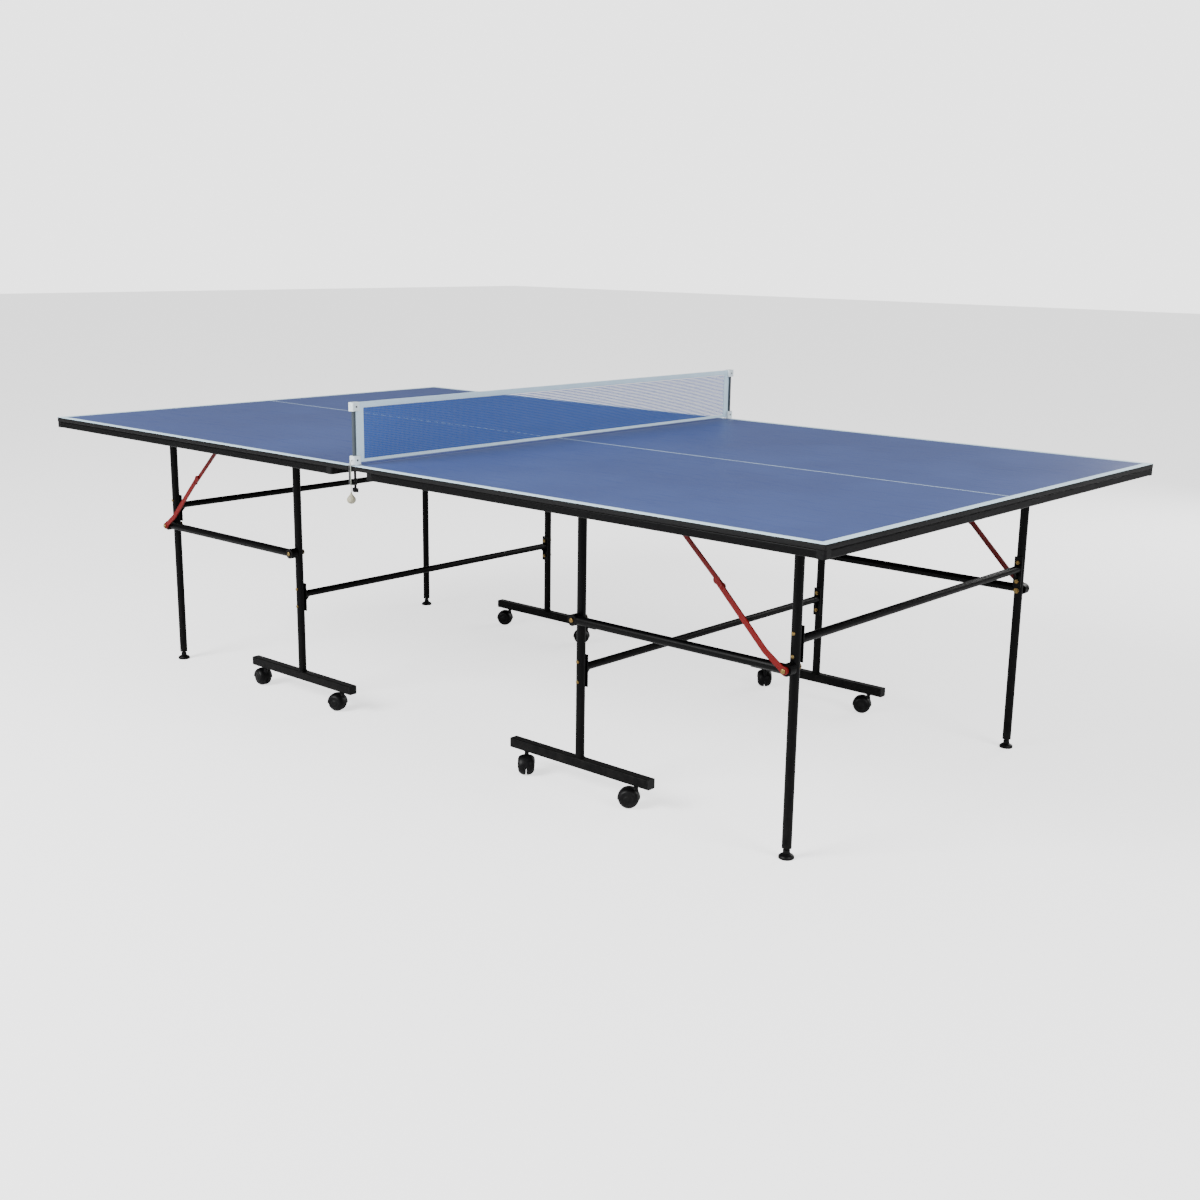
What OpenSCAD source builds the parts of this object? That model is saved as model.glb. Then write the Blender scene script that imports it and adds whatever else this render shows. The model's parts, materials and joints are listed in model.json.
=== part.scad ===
// Folding two-piece ping pong table on casters.
// +X runs along the length, +Y across it and +Z up from the floor under the centre.
// Half a lies on the +X side and carries the net. Half b is its mirror image on the -X side.
// Pieces that come in pairs across the table are drawn on the +Y side and mirrored.

/* [Playing surface] */
// Length of the whole table along X
table_l = 2740; // [2500:10:3300]
// Width of the table along Y
table_w = 1525; // [1300:5:1830]
// Height of the playing surface above the floor
table_h = 760; // [690:5:912]
// Thickness of each board
board_t = 12; // [9:1:25]
// Gap between the two boards under the net
board_gap = 4; // [4:0.5:8]

/* [Under frame] */
// Height of the frame rails under the board
rail_h = 18; // [15:1:30]
// Width of the frame rails
rail_w = 20; // [15:1:40]
// Wall of every steel tube
wall = 1.5; // [1:0.1:2.5]
// Distance from the net line to the first cross rail
net_inset = 65; // [40:5:120]
// Width of the bearer tubes that cross under the board
bearer_w = 25; // [20:1:40]
// Distance from a leg to the bearer beside it
bearer_offset = 45; // [42:1:70]

/* [Legs] */
// Distance of the wheeled legs from the net line
wheel_leg_x = 540; // [450:5:648]
// Distance of the end legs from the net line
end_leg_x = 1147; // [955:1:1280]
// Distance of every leg from the long centre line
leg_y = 511; // [425:1:614]
// Outside diameter of the leg tubes
leg_d = 22; // [19:1:27]
// Depth of the fold pivots below the playing surface
pivot_drop = 45; // [40:1:60]
// Height of the bottom of the end legs above the floor
end_leg_lift = 24; // [22:1:40]

/* [Cross bars] */
// Height of the cross bar between the wheeled legs
trestle_bar_z = 307; // [200:1:400]
// Height of the cross bar between the end legs
end_bar_z = 488; // [450:1:600]
// Outside diameter of the cross bars
cross_bar_d = 19; // [16:1:25]
// Height of the plates at the ends of the cross bars
plate_h = 80; // [70:1:100]
// Width of those plates
plate_w = 22; // [18:1:30]
// Distance between the two bolts in a plate
plate_bolt_gap = 50; // [40:1:64]

/* [Foot bars and casters] */
// Length of the bar under each wheeled leg
foot_bar_l = 450; // [400:5:540]
// Side of the square foot bar
foot_bar_s = 25; // [20:1:30]
// Distance from the leg to each caster stem
caster_offset = 179; // [150:1:190]
// Diameter of the caster wheels
wheel_d = 50; // [40:1:60]
// Width of one caster wheel
wheel_w = 16; // [12:1:20]
// Distance from the stem to the axle
caster_trail = 17; // [12:1:22]
// Diameter of the caster stem
stem_d = 10; // [8:1:11]

/* [Link bars and struts] */
// Height of the link bar pivots
link_z = 430; // [380:1:450]
// Outside diameter of the link bars
link_d = 22; // [19:1:27]
// Distance from the wheeled leg to the strut's upper pivot
strut_reach = 290; // [240:5:348]
// Depth of the strut's upper pivot below the playing surface
strut_drop = 40; // [36:1:46]
// Length of the upper strut between its pivots
strut_upper_l = 202; // [170:1:210]
// Width of the strut straps
strut_w = 15; // [12:1:20]
// Thickness of the strut straps
strut_t = 3.5; // [2.5:0.5:5]

/* [Levelling feet] */
// Diameter of the foot pad
pad_d = 35; // [28:1:42]
// Height of the foot below its threaded stem
pad_h = 20; // [18:1:21]
// Diameter of the threaded stem
foot_stem_d = 10; // [8:1:12]

/* [Net] */
// Height of the net above the playing surface
net_h = 152.5; // [140:0.5:183]
// Distance of the net from the net line
net_x = 12; // [12:0.5:14]
// Thickness of the net and its tapes
net_t = 2; // [1.5:0.5:3]
// Distance of the posts inside the table's edge
post_inset = 10.5; // [9:0.5:12]
// Diameter of the net posts
post_d = 10; // [8:1:11]
// Length of the clamp strip below the playing surface
clamp_drop = 48; // [45:1:60]

/* [Bolts] */
// Diameter of the fold pivot bolts
pivot_bolt_d = 8; // [6:1:9]
// Diameter of the bolts in the cross bar plates and the strut brackets
frame_bolt_d = 6; // [5:1:7]
// Radial clearance of a running bolt or stem
run_gap = 0.05; // [0.02:0.01:0.1]
// Clearance between faces that pass each other
face_gap = 0.5; // [0.3:0.1:1]

/* [Hidden] */
$fn = 64;
half_l = table_l / 2;
half_w = table_w / 2;
board_z = table_h - board_t;
rail_z = board_z - rail_h;
rail_r = 3;
leg_r = leg_d / 2;
leg_out = leg_y + leg_r;
leg_in = leg_y - leg_r;
pivot_z = table_h - pivot_drop;
pivot_r = pivot_bolt_d / 2;
frame_bolt_r = frame_bolt_d / 2;
leg_crown = 12;
leg_plug = 26;

// Folded steel brackets under the board
bracket_t = 3;
ear_r = 12;
ear_back = bearer_offset - bearer_w / 2;
ear_front = 35;

// Cross bar plates reach further down than up
plate_t = 3;
plate_sag = 8;
gusset = 18;

// Foot bar stands on the casters
foot_bar_z = wheel_d + 8;
foot_bar_top = foot_bar_z + foot_bar_s;
cap_t = 2.5;
cap_plug = 10;
cap_gap = 0.2;

// Caster: two wheels, one on each side of a web, under a half round hood
wheel_r = wheel_d / 2;
stem_r = stem_d / 2;
web_half = 4.5;
wheel_in = web_half + face_gap;
wheel_out = wheel_in + wheel_w;
hood_gap = 0.8;
hood_t = 2.2;
hood_r = wheel_r + hood_gap + hood_t;
neck_r = stem_r + 3;
axle_r = 3;
hub_r = 10;

// How far each caster has swivelled, in degrees from +X, with the wheels behind the stem
caster_turns = [[-49, 210, 131, 205], [200, 172, 205, 208]];

// Link bars and struts stand outside the legs, one layer after another
washer_t = 1;
link_in = leg_out + washer_t + face_gap;
link_y = link_in + link_d / 2;
link_out = link_in + link_d;
link_eye_r = link_d / 2 + 3;
upper_in = link_out + 2 * face_gap;
upper_out = upper_in + strut_t;
lower_in = upper_out + face_gap;
lower_out = lower_in + strut_t;
loose_gap = 0.3;
strut_eye_r = strut_w / 2 + 1;
link_a = [wheel_leg_x, link_z];
link_b = [end_leg_x, link_z];
strut_top = [wheel_leg_x + strut_reach, table_h - strut_drop];
strut_dir = (link_b - strut_top) / norm(link_b - strut_top);
strut_side = [strut_dir[1], -strut_dir[0]];
strut_elbow = strut_top + strut_upper_l * strut_dir;
strut_tail = strut_elbow - 18 * strut_dir;
strut_kink = link_b - 60 * strut_dir + 8 * strut_side;

// Bolt heads and nuts
head_h = 4;
nut_h = 5;

// Net posts, blocks and clamps
post_r = post_d / 2;
post_y = half_w - post_inset;
block_x = 18;
block_y = 24;
block_h = 21;
block_mid = half_w - 0.5 - block_y / 2;
block_in = block_mid - block_y / 2;
block_out = block_mid + block_y / 2;
shelf_t = 2.5;
shelf_z = table_h + shelf_t;
net_top = table_h + net_h;
net_clear = 6;
strip_t = 3;
strip_w = 10;
strip_x = board_gap / 2 + face_gap;
shelf_x = 20;
jaw_z = table_h - clamp_drop;
screw_x = strip_x + strip_w / 2;
screw_y = half_w - 14.5;
screw_r = 3;
wing_r = 10;
wing_h = 10;

// Tension cord: leaves the lower block, turns down past the clamp and carries a weight
cord_r = 1;
cord_sides = 8;
cord_x = 17;
cord_route = [
    [0, 0, 12], [0, 2, 12], [0, 4, 11], [0, 5.5, 9], [0, 6.5, 6], [0, 7, 2],
    [0, 7, -3], [0, 7, -8], [0, 7, -13], [0, 7, -18], [0, 7, -23], [0, 7, -28],
    [0, 7, -33], [0, 7, -38], [0, 7, -43], [0, 7, -48], [0, 7, -53], [0, 7, -58],
    [0, 7, -63], [0, 7, -68]
];
cord_end = cord_route[len(cord_route) - 1];

// ---- shared shapes ----

// Draws its children and their mirror image across the table
module both_sides() {
    children();
    mirror([0, 1, 0]) children();
}

// Draws its children on half a (side 1) or half b (side -1)
module half(side) {
    if (side > 0) children();
    else mirror([1, 0, 0]) children();
}

// Draws its children on the +Y side (1) or the -Y side (-1)
module flank(side) {
    if (side > 0) children();
    else mirror([0, 1, 0]) children();
}

// Rod across the table at point p = [x, z], from y0 to y1
module rod_y(p, y0, y1, r) {
    translate([p[0], y0, p[1]]) rotate([-90, 0, 0]) cylinder(h = y1 - y0, r = r);
}

// Plate between y0 and y1, with its outline drawn by the children in the XZ plane
module plate_y(y0, y1) {
    translate([0, y1, 0]) rotate([90, 0, 0]) linear_extrude(y1 - y0) children();
}

// Strap outline of width w from p over the bend k to q
module strap(p, k, q, w) {
    d1 = (k - p) / norm(k - p);
    d2 = (q - k) / norm(q - k);
    n1 = [-d1[1], d1[0]] * w / 2;
    n2 = [-d2[1], d2[0]] * w / 2;
    mitre = (n1 + n2) / (1 + d1 * d2);
    polygon([p + n1, k + mitre, q + n2, q - n2, k - mitre, p - n1]);
}

// Rectangle with rounded corners, centred
module round_rect(w, h, r) {
    square([w - 2 * r, h], center = true);
    square([w, h - 2 * r], center = true);
    for (x = [-1, 1], y = [-1, 1])
        translate([x * (w / 2 - r), y * (h / 2 - r)]) circle(r);
}

// Section of a rectangular tube
module tube_section(w, h) {
    difference() {
        round_rect(w, h, rail_r);
        round_rect(w - 2 * wall, h - 2 * wall, rail_r - wall / 2);
    }
}

// Rectangular tube along X from x0 to x1
module tube_x(x0, x1, w, h) {
    translate([x0, 0, 0]) rotate([90, 0, 90]) linear_extrude(x1 - x0) tube_section(w, h);
}

// Rectangular tube along Y, centred
module tube_y(l, w, h) {
    rotate([90, 0, 0]) linear_extrude(l, center = true) tube_section(w, h);
}

// Round leg tube at x, solid near its ends where bolts and stems go
module leg_tube(x, z0, z1) {
    difference() {
        translate([x, leg_y, z0]) cylinder(h = z1 - z0, r = leg_r);
        translate([x, leg_y, z0 + leg_plug]) cylinder(h = z1 - z0 - 2 * leg_plug, r = leg_r - wall);
    }
}

// Bolt across the table at p, head at y1 and hexagon nut at y0
module bolt_y(p, y0, y1, r) {
    tip = y0 - nut_h - y1;
    head_r = 1.5 * r;
    translate([p[0], y1, p[1]]) rotate([-90, 0, 0]) {
        rotate_extrude() polygon([
            [0, tip], [r, tip], [r, 0], [head_r, 0], [head_r, 0.3 * head_h],
            [0.9 * head_r, 0.6 * head_h], [0.65 * head_r, 0.88 * head_h],
            [0.3 * head_r, head_h], [0, head_h]
        ]);
        translate([0, 0, tip + 1]) cylinder(h = nut_h - 1, r = 1.9 * r, $fn = 6);
    }
}

// ---- top ----

module tabletop() {
    color("slateblue")
        translate([board_gap / 2, -half_w, board_z])
            cube([half_l - board_gap / 2, table_w, board_t]);
}

module under_frame() {
    side_y = half_w - rail_w / 2;
    mid_z = board_z - rail_h / 2;
    end_span = table_w - 2 * rail_w;
    color("dimgray") translate([0, 0, mid_z]) {
        both_sides()
            translate([0, side_y, 0]) tube_x(net_inset + rail_w, half_l - rail_w, rail_w, rail_h);
        for (x = [net_inset + rail_w / 2, half_l - rail_w / 2])
            translate([x, 0, 0]) tube_y(end_span, rail_w, rail_h);
        for (x = [wheel_leg_x, end_leg_x])
            translate([x - bearer_offset, 0, 0]) tube_y(end_span, bearer_w, rail_h);
    }
}

// Solid plastic block at a corner of the under frame, rounded on its outer edge
module corner_block() {
    edge_r = 5;
    linear_extrude(rail_h) {
        square([rail_w - edge_r, rail_w]);
        square([rail_w, rail_w - edge_r]);
        translate([rail_w - edge_r, rail_w - edge_r]) circle(edge_r);
    }
}

module frame_corners() {
    color("black") both_sides() translate([0, half_w - rail_w, rail_z]) {
        translate([half_l - rail_w, 0, 0]) corner_block();
        translate([net_inset + rail_w, 0, 0]) mirror([1, 0, 0]) corner_block();
    }
}

// One ear of a bracket, hanging from the board round a pivot
module ear(p, y0, r, hole_r) {
    difference() {
        union() {
            rod_y(p, y0, y0 + bracket_t, r);
            translate([p[0] - r, y0, p[1]]) cube([2 * r, bracket_t, board_z - p[1]]);
        }
        rod_y(p, y0 - 1, y0 + bracket_t + 1, hole_r);
    }
}

// Folded bracket with an ear on each side of a leg
module leg_bracket(x) {
    p = [x, pivot_z];
    inner = leg_in - face_gap - bracket_t;
    outer = leg_out + face_gap;
    ear(p, inner, ear_r, pivot_r);
    ear(p, outer, ear_r, pivot_r);
    translate([x - ear_back, inner, board_z - bracket_t])
        cube([ear_back + ear_front, outer + bracket_t - inner, bracket_t]);
}

// Bracket with one ear, just inside the upper strut
module strut_bracket() {
    ear_y = upper_in - face_gap - bracket_t;
    foot = 28;
    ear(strut_top, ear_y, strut_eye_r + 1.5, frame_bolt_r);
    translate([strut_top[0] - foot, ear_y - foot, board_z - bracket_t])
        cube([2 * foot, foot + bracket_t, bracket_t]);
}

module pivot_brackets() {
    color("darkgray") both_sides() {
        leg_bracket(wheel_leg_x);
        leg_bracket(end_leg_x);
        strut_bracket();
    }
}

module pivot_bolts() {
    reach = face_gap + bracket_t;
    strut_ear = upper_in - face_gap - bracket_t;
    color("goldenrod") both_sides() {
        for (x = [wheel_leg_x, end_leg_x])
            bolt_y([x, pivot_z], leg_in - reach, leg_out + reach, pivot_r);
        bolt_y(strut_top, strut_ear, upper_out + face_gap, frame_bolt_r);
    }
}

// ---- trestle with the wheeled legs ----

// Holes for the two bolts of a cross bar plate
module plate_holes(x, bar_z, y0, y1) {
    for (up = [-0.5, 0.5])
        rod_y([x, bar_z - plate_sag + up * plate_bolt_gap], y0, y1, frame_bolt_r);
}

module wheel_legs() {
    color("black") both_sides() difference() {
        leg_tube(wheel_leg_x, foot_bar_top, pivot_z + leg_crown);
        rod_y([wheel_leg_x, pivot_z], 0, half_w, pivot_r + run_gap);
        rod_y(link_a, 0, half_w, pivot_r);
        plate_holes(wheel_leg_x, trestle_bar_z, 0, half_w);
    }
}

module foot_bars() {
    start = wheel_leg_x - foot_bar_l / 2 + cap_t;
    end = wheel_leg_x + foot_bar_l / 2 - cap_t;
    color("black") both_sides() difference() {
        translate([0, leg_y, foot_bar_z + foot_bar_s / 2]) tube_x(start, end, foot_bar_s, foot_bar_s);
        for (d = [-caster_offset, caster_offset])
            translate([wheel_leg_x + d, leg_y, foot_bar_z - 1])
                cylinder(h = foot_bar_s / 2, r = stem_r + run_gap);
    }
}

// Plastic cap with a plug that goes inside the bar
module foot_bar_cap() {
    inside = foot_bar_s - 2 * wall - 2 * cap_gap;
    rotate([90, 0, 90]) {
        linear_extrude(cap_t) round_rect(foot_bar_s, foot_bar_s, rail_r);
        translate([0, 0, -cap_plug]) linear_extrude(cap_plug) round_rect(inside, inside, rail_r);
    }
}

module foot_bar_caps() {
    color("dimgray") both_sides() translate([wheel_leg_x, leg_y, foot_bar_z + foot_bar_s / 2]) {
        translate([foot_bar_l / 2 - cap_t, 0, 0]) foot_bar_cap();
        mirror([1, 0, 0]) translate([foot_bar_l / 2 - cap_t, 0, 0]) foot_bar_cap();
    }
}

// Round bar across the table with a bolted plate and a gusset at each end
module cross_bar(x, z) {
    bar_r = cross_bar_d / 2;
    plate_y = leg_in - plate_t;
    vent_r = 2;
    difference() {
        union() {
            rod_y([x, z], -plate_y, plate_y, bar_r);
            both_sides() {
                translate([x - plate_w / 2, plate_y, z - plate_sag - plate_h / 2])
                    cube([plate_w, plate_t, plate_h]);
                translate([x - plate_t / 2, plate_y, z - bar_r + 1])
                    rotate([90, 0, 90])
                        linear_extrude(plate_t) polygon([[0, 0], [-gusset, 0], [0, -gusset]]);
            }
        }
        rod_y([x, z], -plate_y, plate_y, bar_r - wall);
        both_sides() plate_holes(x, z, plate_y - 1, leg_in + 1);
        translate([x, 0, z - cross_bar_d]) cylinder(h = cross_bar_d, r = vent_r);
    }
}

module cross_bar_bolts(x, z) {
    both_sides() for (up = [-0.5, 0.5])
        bolt_y([x, z - plate_sag + up * plate_bolt_gap], leg_in - plate_t, leg_out, frame_bolt_r);
}

// Spacer ring between a leg and its link bar
module link_washer(p) {
    difference() {
        rod_y(p, leg_out, leg_out + washer_t, pivot_r * 1.8);
        rod_y(p, leg_out - 1, leg_out + washer_t + 1, pivot_r);
    }
}

module trestle_cross_bar() {
    color("black") cross_bar(wheel_leg_x, trestle_bar_z);
}

module trestle_bolts() {
    color("goldenrod") {
        cross_bar_bolts(wheel_leg_x, trestle_bar_z);
        both_sides() {
            bolt_y(link_a, leg_in, link_out + face_gap, pivot_r);
            link_washer(link_a);
        }
    }
}

// ---- end frame ----

module end_legs() {
    color("black") both_sides() difference() {
        leg_tube(end_leg_x, end_leg_lift, pivot_z + leg_crown);
        rod_y([end_leg_x, pivot_z], 0, half_w, pivot_r + run_gap);
        rod_y(link_b, 0, half_w, pivot_r);
        plate_holes(end_leg_x, end_bar_z, 0, half_w);
        translate([end_leg_x, leg_y, 0])
            cylinder(h = end_leg_lift + 2 * leg_plug, r = foot_stem_d / 2 + run_gap);
    }
}

module end_cross_bar() {
    color("black") cross_bar(end_leg_x, end_bar_z);
}

module end_leg_bolts() {
    color("goldenrod") {
        cross_bar_bolts(end_leg_x, end_bar_z);
        both_sides() {
            bolt_y(link_b, leg_in, lower_out + face_gap, pivot_r);
            link_washer(link_b);
        }
    }
}

// Screw-in foot: domed pad, round neck and threaded stem
module levelling_foot(side) {
    pad_r = pad_d / 2;
    neck = 8;
    stem_top = end_leg_lift + leg_plug + 8;
    color("dimgray") flank(side) translate([end_leg_x, leg_y, 0]) rotate_extrude()
        polygon([
            [0, 0], [pad_r - 1, 0], [pad_r, 1], [pad_r, 5], [pad_r - 2, 7.5], [neck + 3, 10.5],
            [neck, 12], [neck, pad_h - 1], [neck - 1, pad_h], [foot_stem_d / 2, pad_h],
            [foot_stem_d / 2, stem_top], [0, stem_top]
        ]);
}

// ---- link bars and struts ----

module link_bars() {
    bore = link_d / 2 - wall;
    vent_r = 2;
    tube_start = wheel_leg_x + link_eye_r;
    tube_end = end_leg_x - link_eye_r;
    color("black") both_sides() difference() {
        union() {
            translate([wheel_leg_x, link_y, link_z])
                rotate([0, 90, 0]) cylinder(h = end_leg_x - wheel_leg_x, r = link_d / 2);
            for (p = [link_a, link_b]) rod_y(p, link_in + face_gap, link_out - face_gap, link_eye_r);
        }
        translate([tube_start, link_y, link_z])
            rotate([0, 90, 0]) cylinder(h = tube_end - tube_start, r = bore);
        rod_y(link_a, link_in - 1, link_out + 1, pivot_r + run_gap);
        rod_y(link_b, link_in - 1, link_out + 1, pivot_r + loose_gap);
        translate([tube_start + link_d, link_y, link_z - link_d])
            cylinder(h = link_d, r = vent_r);
    }
}

module strut_uppers() {
    color("darkred") both_sides() {
        difference() {
            plate_y(upper_in, upper_out) {
                strap(strut_top, (strut_top + strut_elbow) / 2, strut_elbow, strut_w);
                translate(strut_top) circle(strut_eye_r);
                translate(strut_elbow) circle(strut_eye_r);
            }
            rod_y(strut_top, upper_in - 1, upper_out + 1, frame_bolt_r + run_gap);
        }
    }
}

module strut_lowers() {
    rivet_r = 5.5;
    rivet_h = 2.5;
    color("firebrick") both_sides() {
        difference() {
            union() {
                plate_y(lower_in, lower_out) {
                    strap(link_b, strut_kink, strut_tail, strut_w);
                    translate(strut_tail) circle(strut_eye_r);
                    translate(link_b) circle(strut_eye_r + 1.5);
                }
                rod_y(link_b, link_out + face_gap, lower_in + 1, strut_eye_r);
                rod_y(strut_elbow, lower_in + 1, lower_out + rivet_h, rivet_r);
            }
            rod_y(link_b, link_out, lower_out + 1, pivot_r + loose_gap);
        }
    }
}

// ---- casters ----

// Places a caster: index 0 and 1 on the -Y side, 2 and 3 on the +Y side
module at_caster(side, index) {
    along = index % 2 == 0 ? -caster_offset : caster_offset;
    turn = caster_turns[side > 0 ? 0 : 1][index];
    translate([side * (wheel_leg_x + along), index < 2 ? -leg_y : leg_y, 0])
        rotate([0, 0, turn]) children();
}

module caster_hood(side, index) {
    axle = [caster_trail, wheel_r];
    neck_z = wheel_r + hub_r;
    neck_h = foot_bar_z - face_gap - neck_z;
    stem_h = foot_bar_z + foot_bar_s / 2 - neck_z;
    color("black") at_caster(side, index) difference() {
        union() {
            intersection() {
                rod_y(axle, -wheel_out, wheel_out, hood_r);
                translate([-hood_r, -wheel_out, wheel_r]) cube([4 * hood_r, 2 * wheel_out, hood_r]);
            }
            rod_y(axle, -web_half, web_half, hub_r);
            rod_y(axle, -wheel_out + 2, wheel_out - 2, axle_r);
            translate([0, 0, neck_z]) cylinder(h = neck_h, r = neck_r);
            translate([0, 0, neck_z]) cylinder(h = stem_h, r = stem_r);
        }
        flank_space(axle, web_half);
        mirror([0, 1, 0]) flank_space(axle, web_half);
    }
}

// Ring of room for one wheel, with the axle left in its middle
module flank_space(axle, y0) {
    difference() {
        rod_y(axle, y0, y0 + 2 * wheel_w, wheel_r + hood_gap);
        rod_y(axle, y0 - 1, y0 + 2 * wheel_w + 1, axle_r);
    }
}

module caster_wheels(side, index) {
    round_r = 3;
    rim_r = wheel_r - 9;
    dish = 2;
    color("dimgray") at_caster(side, index) both_sides()
        translate([caster_trail, wheel_in, wheel_r]) rotate([-90, 0, 0]) rotate_extrude()
            polygon([
                [axle_r + run_gap, 0], [wheel_r - round_r, 0], [wheel_r - 1, 1], [wheel_r, round_r],
                [wheel_r, wheel_w - round_r], [wheel_r - 1, wheel_w - 1], [wheel_r - round_r, wheel_w],
                [rim_r, wheel_w], [rim_r - dish, wheel_w - dish], [hub_r - 2, wheel_w - dish],
                [hub_r - 3, wheel_w], [axle_r + run_gap, wheel_w]
            ]);
}

// ---- net set ----

module net_panel() {
    low = table_h + net_clear;
    mid_low = shelf_z + block_h;
    mid_high = net_top - block_h;
    wide = post_y - post_r - face_gap;
    color("cornflowerblue") translate([net_x - net_t / 2, 0, 0]) {
        union() {
            translate([0, -block_in, low]) cube([net_t, 2 * block_in, net_top - low]);
            translate([0, -wide, mid_low]) cube([net_t, 2 * wide, mid_high - mid_low]);
        }
    }
}

module net_posts() {
    color("slategray") both_sides() translate([net_x, post_y, shelf_z])
        cylinder(h = net_top - shelf_z - 4, r = post_r);
}

module post_block() {
    translate([net_x, block_mid, 0]) linear_extrude(block_h) round_rect(block_x, block_y, 4);
}

module net_post_blocks() {
    color("white") both_sides() difference() {
        union() {
            translate([0, 0, shelf_z]) post_block();
            translate([0, 0, net_top - block_h]) post_block();
        }
        translate([net_x, post_y, shelf_z]) cylinder(h = net_top - shelf_z - 4, r = post_r);
    }
}

// Strip bent round the board's edge: shelf on top, back strip and lower jaw
module net_clamps() {
    back = half_w + face_gap;
    jaw_in = screw_y - strip_w / 2;
    color("silver") both_sides() difference() {
        union() {
            translate([strip_x, block_in, table_h])
                cube([shelf_x, back + strip_t - block_in, shelf_t]);
            translate([strip_x, back, jaw_z]) cube([strip_w, strip_t, shelf_z - jaw_z]);
            translate([strip_x, jaw_in, jaw_z]) cube([strip_w, back + strip_t - jaw_in, strip_t]);
        }
        translate([screw_x, screw_y, jaw_z - 1]) cylinder(h = strip_t + 2, r = screw_r + run_gap);
    }
}

// Thumbscrew: pressure pad, threaded shank and wings
module clamp_screw(side) {
    pad_t = 2;
    pad_r = 6;
    wing_t = 3;
    hub = 5;
    top = board_z - face_gap;
    base = jaw_z - wing_h - 8;
    color("silver") flank(side) translate([screw_x, screw_y, 0]) {
        translate([0, 0, top - pad_t]) cylinder(h = pad_t, r = pad_r);
        translate([0, 0, base]) cylinder(h = top - pad_t - base, r = screw_r);
        translate([0, 0, base]) cylinder(h = wing_h - 2, r = hub);
        translate([-wing_r, -wing_t / 2, base]) cube([2 * wing_r, wing_t, wing_h]);
    }
}

// Ring of points round a route point, square to the route there
function cord_ring(i) =
    let (
        last = len(cord_route) - 1,
        along = cord_route[min(i + 1, last)] - cord_route[max(i - 1, 0)],
        tilt = i == 0 ? 90 : i == last ? 0 : atan2(along[1], -along[2])
    )
    [for (k = [0:cord_sides - 1])
        let (a = 360 * k / cord_sides)
        cord_route[i] + cord_r * [cos(a), sin(a) * cos(tilt), sin(a) * sin(tilt)]];

module tension_cord() {
    n = len(cord_route);
    points = [for (i = [0:n - 1]) each cord_ring(i)];
    walls = [for (i = [0:n - 2], k = [0:cord_sides - 1])
        let (next = (k + 1) % cord_sides)
        [i * cord_sides + k, i * cord_sides + next, (i + 1) * cord_sides + next, (i + 1) * cord_sides + k]];
    start = [for (k = [cord_sides - 1:-1:0]) k];
    end = [for (k = [0:cord_sides - 1]) (n - 1) * cord_sides + k];
    color("beige") mirror([0, 1, 0]) translate([cord_x, block_out, shelf_z])
        polyhedron(points = points, faces = concat(walls, [start], [end]));
}

module tension_weight() {
    color("tan") mirror([0, 1, 0])
        translate([cord_x, block_out + cord_end[1], shelf_z + cord_end[2]]) rotate_extrude()
            polygon([
                [0, 0], [2.5, 0], [3, -2], [5, -5], [8.5, -9], [10.5, -13], [11, -16],
                [10, -20], [7.5, -23.5], [4, -25.5], [0, -26]
            ]);
}

for (h = [["a", 1], ["b", -1]]) {
    half(h[1]) tabletop();
    half(h[1]) under_frame();
    half(h[1]) frame_corners();
    half(h[1]) pivot_brackets();
    half(h[1]) pivot_bolts();
    half(h[1]) wheel_legs();
    half(h[1]) foot_bars();
    half(h[1]) foot_bar_caps();
    half(h[1]) trestle_cross_bar();
    half(h[1]) trestle_bolts();
    half(h[1]) end_legs();
    half(h[1]) end_cross_bar();
    half(h[1]) end_leg_bolts();
    half(h[1]) link_bars();
    half(h[1]) strut_uppers();
    half(h[1]) strut_lowers();
    for (i = [1, 2])
        half(h[1]) levelling_foot(2 * i - 3);
    for (i = [1:4]) {
        caster_hood(h[1], i - 1);
        caster_wheels(h[1], i - 1);
    }
}
net_panel();
net_posts();
net_post_blocks();
net_clamps();
clamp_screw(-1);  // clamp_screw_near
clamp_screw(1);  // clamp_screw_far
tension_cord();
tension_weight();
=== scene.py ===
import json
import math

import bmesh
import bpy
import numpy as np
from mathutils import Matrix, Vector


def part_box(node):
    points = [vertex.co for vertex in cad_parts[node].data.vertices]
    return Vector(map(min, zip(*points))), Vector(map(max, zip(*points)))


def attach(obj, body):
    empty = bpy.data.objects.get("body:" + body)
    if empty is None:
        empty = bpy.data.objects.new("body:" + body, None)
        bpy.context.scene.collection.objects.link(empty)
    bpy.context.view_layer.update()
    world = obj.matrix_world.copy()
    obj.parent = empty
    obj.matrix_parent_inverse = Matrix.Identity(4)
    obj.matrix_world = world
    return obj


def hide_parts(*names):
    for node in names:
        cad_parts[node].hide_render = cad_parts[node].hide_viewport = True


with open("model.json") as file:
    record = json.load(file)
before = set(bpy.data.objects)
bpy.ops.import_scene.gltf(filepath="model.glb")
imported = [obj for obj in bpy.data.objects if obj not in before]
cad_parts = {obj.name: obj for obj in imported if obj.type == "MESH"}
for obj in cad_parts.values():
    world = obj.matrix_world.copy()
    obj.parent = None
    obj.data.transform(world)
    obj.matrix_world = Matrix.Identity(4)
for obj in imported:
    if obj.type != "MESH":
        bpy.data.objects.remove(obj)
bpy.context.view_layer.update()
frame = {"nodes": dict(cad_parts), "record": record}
cadNodes = frame["nodes"]
halves = (("a", 1), ("b", -1))  # name, and the side of the table's middle that it stands on
print("frame loaded,", len(cadNodes), "nodes")

# ---- camera ----

cameraSetup = {
    "place": (2.8468, -3.0612, 1.2917),
    "heading": 41.41,  # degrees from +Y towards -X
    "down": 13.38,
    "roll": 0.832,
    "lens": 44.98,
    "sensor": 36,
}


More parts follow.
